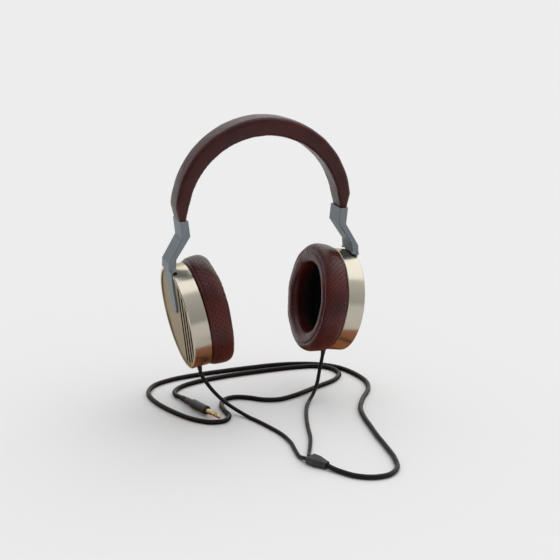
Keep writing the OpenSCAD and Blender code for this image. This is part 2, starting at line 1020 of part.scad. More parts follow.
headband_cover();
headband_spring();
headband_foam();
slider_guide();  // right_slider_guide
left() slider_guide();  // left_slider_guide
detent_spring();  // right_detent_spring
left() detent_spring();  // left_detent_spring
slider();  // right_slider
left() slider();  // left_slider
yoke();  // right_yoke
left() yoke();  // left_yoke
yoke_screws();  // right_yoke_screws
left() yoke_screws();  // left_yoke_screws
swivel_pin();  // right_swivel_pin
left() swivel_pin();  // left_swivel_pin
pivot_block();  // right_pivot_block
left() pivot_block();  // left_pivot_block
tilt_pin();  // right_tilt_pin
left() tilt_pin();  // left_tilt_pin
cup_band();  // right_cup_band
left() cup_band();  // left_cup_band
slotted_plate();  // right_slotted_plate
left() slotted_plate();  // left_slotted_plate
pivot_cradle();  // right_pivot_cradle
left() pivot_cradle();  // left_pivot_cradle
dust_mesh();  // right_dust_mesh
left() dust_mesh();  // left_dust_mesh
baffle();  // right_baffle
left() baffle();  // left_baffle
baffle_screws();  // right_baffle_screws
left() baffle_screws();  // left_baffle_screws
driver_basket();  // right_driver_basket
left() driver_basket();  // left_driver_basket
magnet();  // right_magnet
left() magnet();  // left_magnet
pole_plate();  // right_pole_plate
left() pole_plate();  // left_pole_plate
voice_coil();  // right_voice_coil
left() voice_coil();  // left_voice_coil
diaphragm();  // right_diaphragm
left() diaphragm();  // left_diaphragm
driver_cover();  // right_driver_cover
left() driver_cover();  // left_driver_cover
pad_ring();  // right_pad_ring
left() pad_ring();  // left_pad_ring
ear_pad();  // right_ear_pad
left() ear_pad();  // left_ear_pad
strain_relief();  // right_strain_relief
left() strain_relief();  // left_strain_relief
color(black) tube(right_route, lead_d / 2);  // right_lead
color(black) tube(left_route, lead_d / 2);  // left_lead
y_splitter();
color(black) tube(cable_route, cable_d / 2);  // main_cable
plug_boot();
plug_barrel();
plug_sleeve();
plug_ring();
plug_tip();
plug_insulators();
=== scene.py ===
"""Looks of the over ear headphones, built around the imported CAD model. Lengths are in metres."""
import json
import math

import bmesh
import bpy
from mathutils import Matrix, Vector, noise


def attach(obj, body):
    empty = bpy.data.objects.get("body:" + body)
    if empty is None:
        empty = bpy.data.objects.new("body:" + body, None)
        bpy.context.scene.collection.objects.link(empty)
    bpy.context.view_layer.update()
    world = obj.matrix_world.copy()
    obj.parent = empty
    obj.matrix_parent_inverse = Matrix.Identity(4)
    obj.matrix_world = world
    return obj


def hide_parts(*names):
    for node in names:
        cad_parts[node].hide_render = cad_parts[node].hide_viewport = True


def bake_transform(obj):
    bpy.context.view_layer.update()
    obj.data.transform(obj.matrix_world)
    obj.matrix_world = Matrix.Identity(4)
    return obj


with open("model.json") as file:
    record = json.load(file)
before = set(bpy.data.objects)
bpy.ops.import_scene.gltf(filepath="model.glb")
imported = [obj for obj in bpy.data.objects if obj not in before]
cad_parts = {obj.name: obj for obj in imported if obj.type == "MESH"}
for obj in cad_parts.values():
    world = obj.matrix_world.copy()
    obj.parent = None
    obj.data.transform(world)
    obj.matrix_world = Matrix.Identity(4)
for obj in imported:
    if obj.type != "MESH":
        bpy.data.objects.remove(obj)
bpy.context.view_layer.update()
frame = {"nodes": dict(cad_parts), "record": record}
NODES = frame["nodes"]
SLOT_OF = {p["node"]: p["material_slot"] for p in frame["record"]["subparts"]}
SIDES = {"right": 1, "left": -1}
MM = 0.001

# ---- sizes shared with the CAD ----
FLOOR_Z = -0.233
BAND_HALF = 0.011
BAND_END_Z = -0.065
BAND_TAPER = math.radians(5)
TAPER_FROM_Z = -0.05
CROWN_T = 0.015
OUTER_R, INNER_R = 0.076, 0.066
# each arch: radius, height of its centre, its ends' height over that, and X at the band's end
OUTER_ARCH = (OUTER_R, CROWN_T - OUTER_R, 0.0070, 0.07324)
INNER_ARCH = (INNER_R, -INNER_R, 0.0135, 0.06759)
SLIDER_LEAN = math.radians(4)
MOUTH_X, MOUTH_Z = 0.07017, BAND_END_Z + 0.1 * MM
CUP_X, CUP_DROP = 0.0748, 0.1496
CUP_TILT = math.radians(9.6)
PLATE_TOP = -0.0010
PAD_BASE, PAD_FACE = -0.0166, -0.0362
LEAD_R, CABLE_R = 0.0016, 0.0020
BOOT_TIP, EXIT_OUT = -0.051, -0.0105
SPLITTER_LEN = 0.018
SPLITTER_TURN = math.radians(-64)
SPLITTER_TAIL = Vector((-0.0078, -0.1335, 0.0032 + FLOOR_Z))
LEAD_SPREAD = 0.0026
PLUG_TURN, PLUG_LIFT = math.radians(14.5), math.radians(3.6)
PLUG_TAIL = Vector((-0.0668, 0.020, 0.003 + FLOOR_Z))

# ---- sizes of the looks ----
STRAIGHT_SHARE = 0.045
BAND_STEPS = 190
BAND_GIRTH = 0.07
LENS, SENSOR = 80.4, 36
CAMERA_PLACE = (-0.3322, -0.9570, 0.1796)
CAMERA_LOOKS = Vector((0.3276, 0.9000, -0.2875))
SEAM_R, SEAM_H = 0.0404, 0.0188
SEAM_BASE_H = 0.0012
LIP_R = 0.0305
PAD_INSIDE_R, PAD_OUTSIDE_R, PAD_WALL_R = 0.034, 0.042, 0.0466
PAD_SEGMENTS = 150
PAD_SEEDS = {"right": 3.0, "left": 11.0}
HOLES_ROUND = 66
HOLE_ROW = 0.0022
CLOTH_FRAMES = 20
SWELL_LIMIT = 0.9 * MM
FLOOR_HALF, FLOOR_GREY = 30, (0.805, 0.805, 0.805)
CARD_HALF, CARD_BROWN = (0.104, 0.085), (0.42, 0.18, 0.095)
BACKDROP = 0.84
ROOM_LEVEL = 0.53
ROOM_LEAN = (0.28, 0.16, 0.24)


# ---- camera ----
def make_camera():
    """Camera at the photograph's viewing angle."""
    data = bpy.data.cameras.new("camera")
    data.sensor_width = SENSOR
    data.lens = LENS
    camera = bpy.data.objects.new("camera", data)
    camera.location = CAMERA_PLACE
    camera.rotation_euler = CAMERA_LOOKS.to_track_quat("-Z", "Y").to_euler()
    bpy.context.scene.collection.objects.link(camera)
    bpy.context.scene.camera = camera


# ---- material kit ----
class Surface:
    """A node material under construction."""

    def __init__(self, name, base, rough, metal=0.0):
        self.material = bpy.data.materials.new(name)
        self.material.use_nodes = True
        tree = self.material.node_tree
        self.nodes, self.links = tree.nodes, tree.links
        self.shader = self.nodes["Principled BSDF"]
        self.set("Base Color", (*base, 1))
        self.set("Roughness", rough)
        self.set("Metallic", metal)

    def set(self, socket, value):
        self.shader.inputs[socket].default_value = value

    def feed(self, socket, output):
        self.links.new(output, self.shader.inputs[socket])

    def add(self, kind, inputs=(), **settings):
        node = self.nodes.new(kind)
        for key, value in settings.items():
            setattr(node, key, value)
        for key, value in dict(inputs).items():
            if isinstance(value, bpy.types.NodeSocket):
                self.links.new(value, node.inputs[key])
            else:
                node.inputs[key].default_value = value
        return node

    def place(self, kind="Object"):
        return self.add("ShaderNodeTexCoord").outputs[kind]

    def scaled(self, vector, scale, origin=(0, 0, 0), turn=(0, 0, 0)):
        """Coordinates in a turned frame, divided by a size along each of its axes."""
        inputs = {"Vector": vector, "Location": origin, "Rotation": turn, "Scale": scale}
        return self.add("ShaderNodeMapping", inputs, vector_type="TEXTURE").outputs[0]

    def noise(self, vector, scale=1.0, detail=4.0, rough=0.55):
        inputs = {"Vector": vector, "Scale": scale, "Detail": detail, "Roughness": rough}
        return self.add("ShaderNodeTexNoise", inputs).outputs["Fac"]

    def cells(self, vector, scale=1.0, feature="DISTANCE_TO_EDGE"):
        inputs = {"Vector": vector, "Scale": scale}
        return self.add("ShaderNodeTexVoronoi", inputs, feature=feature).outputs["Distance"]

    def math(self, operation, a, b=0.0):
        return self.add("ShaderNodeMath", {0: a, 1: b}, operation=operation).outputs[0]

    def span(self, value, low, high, to_low=0.0, to_high=1.0):
        inputs = {"Value": value, "From Min": low, "From Max": high,
                  "To Min": to_low, "To Max": to_high}
        return self.add("ShaderNodeMapRange", inputs, interpolation_type="SMOOTHSTEP").outputs[0]

    def ramp(self, value, stops):
        node = self.add("ShaderNodeValToRGB", {"Fac": value})
        elements = node.color_ramp.elements
        while len(elements) < len(stops):
            elements.new(0.5)
        for element, (at, color) in zip(elements, stops):
            element.position = at
            element.color = (*color, 1)
        return node.outputs[0]

    def mix(self, share, a, b):
        node = self.nodes.new("ShaderNodeMix")
        node.data_type = "RGBA"
        for key, value in (("Factor", share), ("A", a), ("B", b)):
            socket = [s for s in node.inputs if s.name == key and s.enabled][0]
            if isinstance(value, bpy.types.NodeSocket):
                self.links.new(value, socket)
            else:
                socket.default_value = (*value, 1) if key != "Factor" else value
        return [s for s in node.outputs if s.enabled][0]

    def bump(self, *layers):
        """Bump from (height, depth in metres) layers, one on the other."""
        normal = None
        for height, depth in layers:
            inputs = {"Height": height, "Distance": depth, "Strength": 1.0}
            if normal:
                inputs["Normal"] = normal
            normal = self.add("ShaderNodeBump", inputs).outputs[0]
        self.feed("Normal", normal)


# ---- materials ----
CHAMPAGNE = (0.52, 0.485, 0.405)
PLATE_TAN = (0.31, 0.272, 0.215)
BLUE_STEEL = (0.190, 0.222, 0.246)
GRAZING = (0.84, 0.76, 0.62)
# painted shade: the dark colour of the slot walls, standing in for the shadow inside the slots
SLOT_PAINTED_SHADE = (0.012, 0.010, 0.008)
HOLE_DARK = (0.014, 0.0035, 0.003)
# painted shade: near black colour for the pad's inner wall deep in the opening
CAVITY_SHADE_BLACK = (0.003, 0.0018, 0.0018)


def shaded(color, factor, lift=0.0):
    """A colour made darker or lighter by a factor."""
    return tuple(c * factor + lift for c in color)


def leather(name, dark, mid, pad=False):
    """Grained leather; a pad's has rows of small holes, and painted shade deep in its opening
    where its mesh says.
    """
    s = Surface(name, mid, 0.46)
    at = s.place()
    patches = s.noise(at, scale=45, detail=5)
    creases = s.cells(at, scale=1300)
    pores = s.noise(at, scale=2600, detail=2)
    swells = s.noise(at, scale=160, detail=3)
    color = s.ramp(patches, [(0.28, dark), (0.72, mid)])
    color = s.mix(s.span(creases, 0.0, 0.25, 0.45, 0.0), color, shaded(dark, 0.4))
    rough = s.span(patches, 0.3, 0.7, 0.26, 0.38)
    layers = [(creases, 0.10 * MM), (pores, 0.03 * MM), (swells, 0.4 * MM)]
    if pad:
        dot = hole_dots(s)
        color = s.mix(dot, color, HOLE_DARK)
        # painted shade: the pad's inner wall goes near black the deeper it lies in the opening
        cavity_shade = s.add("ShaderNodeAttribute", attribute_name="cavity_shade").outputs["Fac"]
        color = s.mix(cavity_shade, color, CAVITY_SHADE_BLACK)
        rough = s.math("MAXIMUM", rough, s.math("MULTIPLY", s.math("MAXIMUM", dot, cavity_shade), 0.9))
        layers.append((s.math("SUBTRACT", 1.0, dot), 0.6 * MM))
    s.feed("Base Color", color)
    s.feed("Roughness", rough)
    s.bump(*layers)
    s.set("Specular IOR Level", 0.29)
    return s.material


def hole_dots(s):
    """1 inside each small hole of the staggered rows on a pad's side wall."""
    mask = s.add("ShaderNodeAttribute", attribute_name="holes").outputs["Fac"]
    split = s.add("ShaderNodeSeparateXYZ", {0: s.place("UV")})
    row = s.math("FLOOR", split.outputs["Y"])
    shift = s.math("MULTIPLY", s.math("MODULO", row, 2.0), 0.5)
    across = s.math("SUBTRACT", s.math("FRACT", s.math("ADD", split.outputs["X"], shift)), 0.5)
    across = s.math("MULTIPLY", across, 2.0)
    along = s.math("SUBTRACT", s.math("FRACT", split.outputs["Y"]), 0.5)
    reach = s.math("SQRT", s.math("ADD", s.math("MULTIPLY", across, across),
                                  s.math("MULTIPLY", along, along)))
    return s.math("MULTIPLY", s.span(reach, 0.17, 0.28, 1.0, 0.0), mask)


def cup_frame(side):
    """Origin and turn of a cup's own frame: X along the cup's axis, Z up its face."""
    sign = SIDES[side]
    return (sign * CUP_X, 0, -CUP_DROP), (0, sign * CUP_TILT, 0)


def brushed(name, base, rough, grain, origin=(0, 0, 0), turn=(0, 0, 0), metal=1.0,
            contrast=0.12, deep=None, tint=(1, 1, 1)):
    """Metal with fine brush lines; grain is the size of a line along each axis of its frame.

    deep is (sign, level): what lies below that level of the frame's X is painted dark, as painted
    shade inside a slot.
    """
    s = Surface(name, base, rough, metal)
    at = s.place()
    lines = s.noise(s.scaled(at, grain, origin, turn), scale=1.0, detail=3, rough=0.6)
    wide = tuple(6 * size for size in grain)
    bands = s.noise(s.scaled(at, wide, origin, turn), scale=1.0, detail=2)
    smears = s.noise(at, scale=38, detail=3)
    shade = s.math("ADD", s.math("MULTIPLY", lines, 0.6), s.math("MULTIPLY", bands, 0.4))
    color = s.ramp(shade, [(0.25, shaded(base, 1 - contrast)),
                           (0.75, shaded(base, 1 + contrast * 0.6))])
    # painted shade: below the plate's top the colour goes dark, as if shadowed inside the slots
    if deep:
        sign, level = deep
        flat = s.add("ShaderNodeSeparateXYZ", {0: s.scaled(at, (1, 1, 1), origin, turn)})
        height = s.math("MULTIPLY", flat.outputs["X"], float(sign))
        below = s.span(height, level - 0.5 * MM, level - 0.06 * MM, 1.0, 0.0)
        color = s.mix(below, color, SLOT_PAINTED_SHADE)
    s.feed("Base Color", color)
    worn = s.math("ADD", s.span(lines, 0.3, 0.7, rough - contrast * 0.3, rough + contrast * 0.3),
                  s.span(smears, 0.4, 0.8, 0.0, 0.04))
    s.feed("Roughness", worn)
    dents = s.noise(at, scale=90, detail=2)
    s.bump((lines, contrast * 0.08 * MM), (dents, 0.02 * MM))
    s.set("Anisotropic", 0.35)
    s.set("Specular Tint", (*tint, 1))
    return s.material


def moulded(name, base, rough):
    """Plastic or rubber with a fine moulded texture and faint wear."""
    s = Surface(name, base, rough)
    at = s.place()
    speck = s.noise(at, scale=2200, detail=3)
    waves = s.noise(at, scale=300, detail=2)
    worn = s.noise(at, scale=60, detail=4)
    s.feed("Base Color", s.ramp(worn, [(0.3, shaded(base, 0.8)),
                                       (0.75, shaded(base, 1.35, 0.004))]))
    s.feed("Roughness", s.span(worn, 0.3, 0.75, rough - 0.07, rough + 0.08))
    s.bump((speck, 0.03 * MM), (waves, 0.03 * MM))
    return s.material


def jacket(name, base, rough):
    """Cord jacket: satin rubber with faint rings from its extrusion."""
    s = Surface(name, base, rough)
    at = s.place()
    split = s.add("ShaderNodeSeparateXYZ", {0: s.place("UV")})
    along = s.add("ShaderNodeCombineXYZ", {0: split.outputs["Y"]}).outputs[0]
    rings = s.noise(along, scale=900, detail=2)
    worn = s.noise(at, scale=120, detail=3)
    grains = s.noise(at, scale=1500, detail=3)
    s.feed("Base Color", s.ramp(worn, [(0.3, shaded(base, 0.7)), (0.8, shaded(base, 1.5))]))
    s.feed("Roughness", s.span(worn, 0.3, 0.8, rough - 0.08, rough + 0.06))
    s.bump((rings, 0.04 * MM), (grains, 0.03 * MM))
    s.set("Specular IOR Level", 0.2)
    return s.material


def weave(name, base, pitch, origin, turn):
    """Fine plain weave laid in the plane of the cup face."""
    s = Surface(name, base, 0.85)
    at = s.scaled(s.place(), (pitch, pitch, pitch), origin, turn)
    split = s.add("ShaderNodeSeparateXYZ", {0: at})
    warp = s.math("SINE", s.math("MULTIPLY", split.outputs["Y"], 2 * math.pi))
    weft = s.math("SINE", s.math("MULTIPLY", split.outputs["Z"], 2 * math.pi))
    cloth = s.math("MULTIPLY", warp, weft)
    fuzz = s.noise(s.place(), scale=1800, detail=2)
    s.feed("Base Color", s.ramp(s.span(cloth, -1, 1), [(0.2, shaded(base, 0.4)),
                                                       (0.9, shaded(base, 2.2))]))
    s.bump((cloth, pitch * 0.3), (fuzz, 0.05 * MM))
    s.set("Specular IOR Level", 0.1)
    return s.material


def foam(name, base):
    """Open foam with small cells."""
    s = Surface(name, base, 0.95)
    holes = s.cells(s.place(), scale=1100)
    s.feed("Base Color", s.ramp(holes, [(0.0, shaded(base, 0.4)), (0.35, base)]))
    s.bump((holes, 0.4 * MM))
    return s.material


def film(name, base):
    """Thin embossed film of the driver's cone."""
    s = Surface(name, base, 0.3)
    at = s.place()
    cloud = s.noise(at, scale=200, detail=2)
    emboss = s.noise(at, scale=700, detail=3)
    s.feed("Base Color", s.ramp(cloud, [(0.3, shaded(base, 0.8)), (0.7, base)]))
    s.bump((emboss, 0.06 * MM))
    return s.material


def cup_metal(side):
    """Brushed round the cup."""
    return brushed("cup_metal_" + side, CHAMPAGNE, 0.21, (0.12 * MM, 30 * MM, 30 * MM),
                   *cup_frame(side), contrast=0.05, tint=GRAZING)


def plate_metal(side):
    """Brushed upright, with painted shade: the walls inside the slots are coloured dark for their
    shadow.
    """
    return brushed("plate_metal_" + side, PLATE_TAN, 0.38, (20 * MM, 0.22 * MM, 30 * MM),
                   *cup_frame(side), contrast=0.08, deep=(SIDES[side], PLATE_TOP), tint=GRAZING)


def cradle_metal(side):
    """Brushed like the plate round it, but brighter."""
    return brushed("cradle_metal_" + side, CHAMPAGNE, 0.28, (20 * MM, 0.22 * MM, 30 * MM),
                   *cup_frame(side), contrast=0.08, tint=GRAZING)


def yoke_metal(side):
    return brushed("yoke_metal", BLUE_STEEL, 0.48, (0.6 * MM, 0.6 * MM, 6 * MM), metal=0.4,
                   contrast=0.08)


def mesh_fabric(side):
    return weave("mesh_fabric_" + side, (0.005, 0.005, 0.005), 0.7 * MM, *cup_frame(side))


def cover_fabric(side):
    return weave("cover_fabric_" + side, (0.003, 0.003, 0.003), 0.9 * MM, *cup_frame(side))


def band_leather(side):
    return leather("band_leather", (0.034, 0.0036, 0.0026), (0.074, 0.0085, 0.0062))


def pad_leather(side):
    return leather("pad_leather", (0.040, 0.0045, 0.0034), (0.120, 0.0160, 0.0120), pad=True)


# slot: colour, roughness
MOULDED = {
    "guide_plastic": ((0.022, 0.022, 0.023), 0.55),
    "pivot_plastic": ((0.016, 0.016, 0.017), 0.50),
    "baffle_plastic": ((0.014, 0.014, 0.015), 0.50),
    "basket_plastic": ((0.020, 0.020, 0.021), 0.45),
    "relief_rubber": ((0.012, 0.012, 0.013), 0.55),
    "splitter_rubber": ((0.022, 0.022, 0.023), 0.58),
    "barrel_plastic": ((0.018, 0.021, 0.021), 0.40),
    "insulator": ((0.012, 0.012, 0.012), 0.35),
}
# slot: colour, roughness, size of a brush line along X, Y and Z
BRUSHED = {
    "spring_steel": ((0.55, 0.56, 0.57), 0.35, (0.3 * MM, 20 * MM, 20 * MM)),
    "slider_steel": ((0.52, 0.55, 0.58), 0.30, (0.2 * MM, 0.2 * MM, 20 * MM)),
    "screw_steel": ((0.30, 0.31, 0.32), 0.35, (0.2 * MM, 2 * MM, 0.2 * MM)),
    "pin_steel": ((0.55, 0.55, 0.55), 0.25, (2 * MM, 0.2 * MM, 0.2 * MM)),
    "magnet_steel": ((0.40, 0.41, 0.42), 0.30, (0.3 * MM, 3 * MM, 3 * MM)),
    "coil_copper": ((0.50, 0.22, 0.10), 0.35, (0.1 * MM, 10 * MM, 10 * MM)),
    "contact_gold": ((0.74, 0.56, 0.28), 0.18, (0.2 * MM, 0.2 * MM, 0.2 * MM)),
}
MAKERS = {
    "band_leather": band_leather,
    "pad_leather": pad_leather,
    "cup_metal": cup_metal,
    "plate_metal": plate_metal,
    "cradle_metal": cradle_metal,
    "yoke_metal": yoke_metal,
    "mesh_fabric": mesh_fabric,
    "cover_fabric": cover_fabric,
    "foam": lambda side: foam("foam", (0.10, 0.10, 0.095)),
    "diaphragm_film": lambda side: film("diaphragm_film", (0.42, 0.33, 0.20)),
    "cord_jacket": lambda side: jacket("cord_jacket", (0.0055, 0.0054, 0.0057), 0.40),
}
PER_SIDE = ("cup_metal", "plate_metal", "cradle_metal", "mesh_fabric", "cover_fabric")
made = {}


def make_finish(slot, side):
    if slot in MOULDED:
        return moulded(slot, *MOULDED[slot])
    if slot in BRUSHED:
        return brushed(slot, *BRUSHED[slot])
    return MAKERS[slot](side)


def finish_of(slot, side=""):
    """The material of a slot, made once, or once a side where it follows the cup's tilt."""
    key = (slot, side) if slot in PER_SIDE else (slot, "")
    if key not in made:
        made[key] = make_finish(slot, side)
    return made[key]


# ---- mesh kit ----
def new_object(name, vertices, faces, slot, uvs=None, smooth=True):
    mesh = bpy.data.meshes.new(name)
    mesh.from_pydata([tuple(v) for v in vertices], [], faces)
    mesh.materials.append(finish_of(slot))
    if uvs:
        layer = mesh.uv_layers.new(name="map")
        for loop, uv in zip(layer.data, uvs):
            loop.uv = uv
    for polygon in mesh.polygons:
        polygon.use_smooth = smooth
    mesh.validate()
    obj = bpy.data.objects.new(name, mesh)
    bpy.context.scene.collection.objects.link(obj)
    return obj


def face_outward(obj):
    """Turns all faces of a closed mesh to the outside."""
    fix = bmesh.new()
    fix.from_mesh(obj.data)
    bmesh.ops.recalc_face_normals(fix, faces=fix.faces)
    fix.to_mesh(obj.data)
    fix.free()


def apply_modifiers(obj):
    """Bakes an object's modifiers into its mesh."""
    depsgraph = bpy.context.evaluated_depsgraph_get()
    baked = bpy.data.meshes.new_from_object(obj.evaluated_get(depsgraph))
    obj.modifiers.clear()
    obj.data = baked


def loft(name, rings, slot, uv=None, caps=True, smooth=True):
    """Closed mesh through rings of the same number of points."""
    count = len(rings[0])
    vertices = [p for ring in rings for p in ring]
    faces, uvs = [], []
    uv = uv or (lambda i, j: (j / count, i / len(rings)))
    for i in range(len(rings) - 1):
        for j in range(count):
            nxt = (j + 1) % count
            faces.append((i * count + j, i * count + nxt,
                          (i + 1) * count + nxt, (i + 1) * count + j))
            uvs += [uv(i, j), uv(i, j + 1), uv(i + 1, j + 1), uv(i + 1, j)]
    if caps:
        last = (len(rings) - 1) * count
        faces.append(tuple(reversed(range(count))))
        faces.append(tuple(range(last, last + count)))
        uvs += [uv(0, j) for j in reversed(range(count))]
        uvs += [uv(len(rings) - 1, j) for j in range(count)]
    obj = new_object(name, vertices, faces, slot, uvs, smooth)
    face_outward(obj)
    return obj


def smooth_path(points, step, floor):
    """Even short steps along the centripetal curve through the points, never below the floor."""
    ends = [2 * points[0] - points[1], *points, 2 * points[-1] - points[-2]]
    path = []
    for p0, p1, p2, p3 in zip(ends, ends[1:], ends[2:], ends[3:]):
        t1 = (p1 - p0).length ** 0.5
        t2 = t1 + (p2 - p1).length ** 0.5
        t3 = t2 + (p3 - p2).length ** 0.5
        steps = max(2, round((p2 - p1).length / step))
        for k in range(steps):
            t = t1 + (t2 - t1) * k / steps
            a1 = p0.lerp(p1, t / t1)
            a2 = p1.lerp(p2, (t - t1) / (t2 - t1))
            a3 = p2.lerp(p3, (t - t2) / (t3 - t2))
            b1 = a1.lerp(a2, t / t2)
            b2 = a2.lerp(a3, (t - t1) / (t3 - t1))
            path.append(b1.lerp(b2, (t - t1) / (t2 - t1)))
    path.append(points[-1].copy())
    for p in path:
        p.z = max(p.z, floor)
    return path


def circle(centre, radius, side, other, count):
    """Ring of points in the plane of two unit vectors."""
    turns = [2 * math.pi * k / count for k in range(count)]
    return [centre + radius * (math.cos(a) * side + math.sin(a) * other) for a in turns]


def tube(name, path, radius, slot, sides=20):
    """Round tube along a path, mapped in metres along it."""
    rings, lengths = [], [0.0]
    for a, b in zip(path, path[1:]):
        lengths.append(lengths[-1] + (b - a).length)
    side = None
    for i, centre in enumerate(path):
        ahead = (path[min(i + 1, len(path) - 1)] - path[max(i - 1, 0)]).normalized()
        side = side or ahead.orthogonal().normalized()
        side = (side - ahead * side.dot(ahead)).normalized()
        rings.append(circle(centre, radius, side, ahead.cross(side), sides))
    return loft(name, rings, slot, lambda i, j: (j / sides, lengths[i]))


def turned(name, origin, axis, profile, slot, sides=40):
    """Solid of revolution; the profile is (distance along the axis, radius) pairs."""
    axis = Vector(axis).normalized()
    side = axis.orthogonal().normalized()
    other = axis.cross(side)
    rings = [circle(Vector(origin) + along * axis, radius, side, other, sides)
             for along, radius in profile]
    return loft(name, rings, slot)


# ---- cords ----
def cup_axes(side):
    """A cup's middle, and the directions out of it and up its face."""
    sign = SIDES[side]
    out = Vector((sign * math.cos(CUP_TILT), 0, -math.sin(CUP_TILT)))
    up = Vector((sign * math.sin(CUP_TILT), 0, math.cos(CUP_TILT)))
    return Vector((sign * CUP_X, 0, -CUP_DROP)), out, up


def boot_tip(side):
    """Where a lead leaves its boot."""
    middle, out, up = cup_axes(side)
    return middle + EXIT_OUT * out + BOOT_TIP * up


def on_floor(points, height=0.0):
    """Route points in mm, lifted off the floor."""
    return [Vector((p[0] * MM, p[1] * MM, FLOOR_Z + (p[2] * MM if len(p) > 2 else height)))
            for p in points]


SPLITTER_DIR = Vector((math.cos(SPLITTER_TURN), math.sin(SPLITTER_TURN), 0))
SPLITTER_SIDE = Vector((-math.sin(SPLITTER_TURN), math.cos(SPLITTER_TURN), 0))
SPLITTER_OUT = SPLITTER_TAIL + SPLITTER_LEN * SPLITTER_DIR
PLUG_AXIS = Vector((math.cos(PLUG_LIFT) * math.sin(PLUG_TURN),
                    -math.cos(PLUG_LIFT) * math.cos(PLUG_TURN), math.sin(PLUG_LIFT)))

HANGING = {"right": [(52, -3, 22), (48, -8, 13), (42, -14, 5.5), (34, -23, 1.8)],
           "left": [(-51, -4, 23), (-46, -9, 16), (-39, -16, 9), (-31, -26, 4)]}
LYING = {"right": [(27, -36), (20, -54), (14, -73), (8, -94), (1, -111), (-4, -122)],
         "left": [(-24, -39), (-16, -61), (-11, -80), (-10, -97), (-12, -113), (-13, -124)]}
FLAT_RUN = [
    (6, -160), (14, -171), (26, -178), (39, -178), (49, -170), (55, -153), (58, -130),
    (60, -109), (63, -88), (66, -68), (71, -50), (81, -32), (94, -14), (100, 4),
    (98, 26), (90, 46), (75, 60), (56, 68), (36, 72), (14, 73), (-12, 73), (-38, 72),
    (-64, 68), (-82, 59), (-91, 43), (-90, 21), (-81, -6), (-70, -26), (-58, -37),
    (-47, -38), (-40, -30), (-40, -17), (-39, -5), (-33, 6), (-23, 9), (-12, 4),
    (-1, -5), (12, -9), (28, -5), (53, 7), (75, 18), (85, 31), (83, 46), (72, 56),
    (53, 60), (32, 61), (10, 61), (-13, 60), (-36, 57), (-53, 52), (-64, 45), (-69, 37)]


def splitter_entry(side):
    """Where a lead goes into the splitter."""
    return SPLITTER_TAIL + SIDES[side] * LEAD_SPREAD * SPLITTER_SIDE


def lead_route(side):
    """Points of a lead: out of its boot, down to the floor, and into the splitter."""
    tip, entry = boot_tip(side), splitter_entry(side)
    up = cup_axes(side)[2]
    return [tip, tip - 4 * MM * up, *on_floor(HANGING[side]),
            *on_floor(LYING[side], LEAD_R), entry - 3 * MM * SPLITTER_DIR, entry]


def cable_route():
    """Points of the cable: out of the splitter, along the floor, and up into the plug."""
    return [SPLITTER_OUT, SPLITTER_OUT + Vector((0.002, -0.004, -0.0006)),
            *on_floor(FLAT_RUN, CABLE_R), *on_floor([(-69.5, 28.5, 2.4)]),
            PLUG_TAIL - 3 * MM * PLUG_AXIS, PLUG_TAIL]


def make_boot(side):
    """Ribbed strain relief under the cup."""
    profile = [(0.0, LEAD_R + 0.05 * MM), (0.0, LEAD_R + 0.2 * MM)]
    for k in range(4):
        at = (0.4 + 1.5 * k) * MM
        rib = LEAD_R + (0.28 + 0.14 * k) * MM
        profile += [(at, rib), (at + 0.8 * MM, rib + 0.05 * MM),
                    (at + 0.95 * MM, rib - 0.2 * MM), (at + 1.35 * MM, rib - 0.18 * MM)]
    profile += [(6.5 * MM, 2.35 * MM), (6.8 * MM, 2.5 * MM), (9.3 * MM, 2.5 * MM)]
    boot = turned(side + "_boot", boot_tip(side), cup_axes(side)[2], profile, "relief_rubber")
    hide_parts(side + "_strain_relief")
    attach(boot, side + "_cup")
    return boot


def splitter_outline(half_w, half_h, cut):
    """Rectangle with cut corners, as (sideways, up) pairs."""
    return [(half_w, half_h - cut), (half_w - cut, half_h), (cut - half_w, half_h),
            (-half_w, half_h - cut), (-half_w, cut - half_h), (cut - half_w, -half_h),
            (half_w - cut, -half_h), (half_w, cut - half_h)]


def make_splitter():
    """Tapered faceted block that joins the leads, with a collar round each entry."""
    # in mm: distance along, half width, half height, cut corner
    stations = [(0.0, 5.2, 2.6, 0.9), (0.4, 5.6, 3.0, 1.2), (5.0, 5.7, 3.1, 1.3),
                (8.0, 5.5, 3.1, 1.4), (14.6, 3.6, 3.0, 1.3), (15.1, 3.2, 2.7, 1.2),
                (15.7, 3.2, 2.7, 1.2), (16.2, 3.3, 2.9, 1.2), (17.6, 3.0, 2.8, 1.1),
                (18.0, 2.6, 2.5, 0.9)]
    rings = [[SPLITTER_TAIL + along * MM * SPLITTER_DIR + a * MM * SPLITTER_SIDE
              + Vector((0, 0, b * MM)) for a, b in splitter_outline(*sizes)]
             for along, *sizes in stations]
    block = loft("splitter_block", rings, "splitter_rubber", smooth=False)
    bevel = block.modifiers.new("bevel", "BEVEL")
    bevel.width = 0.35 * MM
    bevel.segments = 3
    bevel.limit_method = "ANGLE"
    bevel.angle_limit = math.radians(12)
    apply_modifiers(block)
    for polygon in block.data.polygons:
        polygon.use_smooth = True
    block.data.set_sharp_from_angle(angle=math.radians(28))
    profile = [(-0.3 * MM, 2.1 * MM), (0.5 * MM, 2.05 * MM), (0.9 * MM, 1.85 * MM),
               (0.9 * MM, 1.5 * MM)]
    for side in SIDES:
        collar = turned(side + "_collar", splitter_entry(side), -SPLITTER_DIR, profile,
                        "splitter_rubber", 28)
        collar.parent = block
    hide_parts("y_splitter")
    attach(block, "headband")
    return block


